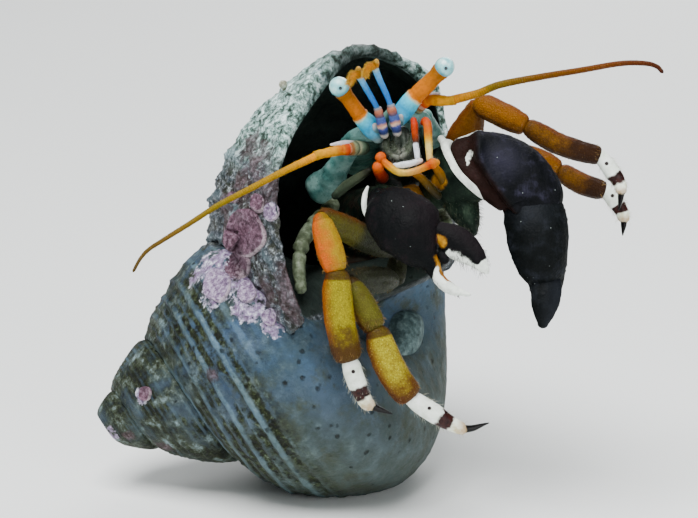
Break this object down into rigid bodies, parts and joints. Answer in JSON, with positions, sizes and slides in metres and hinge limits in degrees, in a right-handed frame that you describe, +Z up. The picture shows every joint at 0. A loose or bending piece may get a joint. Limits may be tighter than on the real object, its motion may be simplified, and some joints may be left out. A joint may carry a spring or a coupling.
{
  "type": "hermit crab in a turban shell, still life-size model",
  "caption": "Hermit crab leaning out of a spiral turban snail shell: stalked eyes, feelers, unequal claws and banded walking legs, resting on the shell's body whorl.",
  "frame": {"origin": "on the floor, in the flat that the shell's body whorl rests on", "axes": "+X to the crab's left (the viewer's right), -Y to its front, +Z up; the shell's apex points to -X"},
  "size_m": [0.055, 0.0423, 0.0453],
  "materials": {
    "snail_shell": "rough, pitted, mottled grey-blue and olive with lilac crust",
    "cornea": "wet gloss, pale blue-green",
    "eyestalk": "smooth, orange above and blue at the base",
    "antennule_flagellum": "smooth orange",
    "antennule_stem": "smooth blue",
    "antenna": "ringed orange-brown",
    "mouthpart": "glossy red, yellow and white",
    "carapace": "smooth grey-green",
    "abdomen_skin": "soft, finely folded",
    "cheliped_dark": "finely granular, near-black brown",
    "cheliped_arm": "dark green with white margins",
    "walking_leg": "finely granular orange-brown",
    "dactyl": "white with dark bands and black claw",
    "small_leg": "pale green"
  },
  "bodies": {
    "root": {"abdomen": "abdomen_skin", "antenna_base_L": "antenna", "antenna_base_R": "antenna", "antenna_whip_L": "antenna", "antenna_whip_R": "antenna", "antennule_L": "antennule_stem", "antennule_R": "antennule_stem", "antennule_tip_L": "antennule_flagellum", "antennule_tip_R": "antennule_flagellum", "chela_L_base": "cheliped_arm", "chela_L_carpus": "cheliped_dark", "chela_L_finger": "cheliped_dark", "chela_L_merus": "cheliped_arm", "chela_L_palm": "cheliped_dark", "chela_R_base": "cheliped_arm", "chela_R_carpus": "cheliped_dark", "chela_R_finger": "cheliped_dark", "chela_R_merus": "cheliped_arm", "chela_R_palm": "cheliped_dark", "eye_L": "cornea", "eye_R": "cornea", "eyestalk_L": "eyestalk", "eyestalk_R": "eyestalk", "flank_L": "carapace", "flank_R": "carapace", "leg_L1_base": "walking_leg", "leg_L1_carpus": "walking_leg", "leg_L1_dactyl": "dactyl", "leg_L1_merus": "walking_leg", "leg_L1_propodus": "walking_leg", "leg_L2_base": "walking_leg", "leg_L2_carpus": "walking_leg", "leg_L2_dactyl": "dactyl", "leg_L2_merus": "walking_leg", "leg_L2_propodus": "walking_leg", "leg_R1_base": "walking_leg", "leg_R1_carpus": "walking_leg", "leg_R1_dactyl": "dactyl", "leg_R1_merus": "walking_leg", "leg_R1_propodus": "walking_leg", "leg_R2_base": "walking_leg", "leg_R2_carpus": "walking_leg", "leg_R2_dactyl": "dactyl", "leg_R2_merus": "walking_leg", "leg_R2_propodus": "walking_leg", "maxilliped_L": "mouthpart", "maxilliped_R": "mouthpart", "maxilliped_palp_L": "mouthpart", "maxilliped_palp_R": "mouthpart", "mouth": "carapace", "shell": "snail_shell", "shield": "carapace", "small_leg_L": "small_leg", "small_leg_R": "small_leg", "thorax": "carapace"}
  },
  "joints": []
}
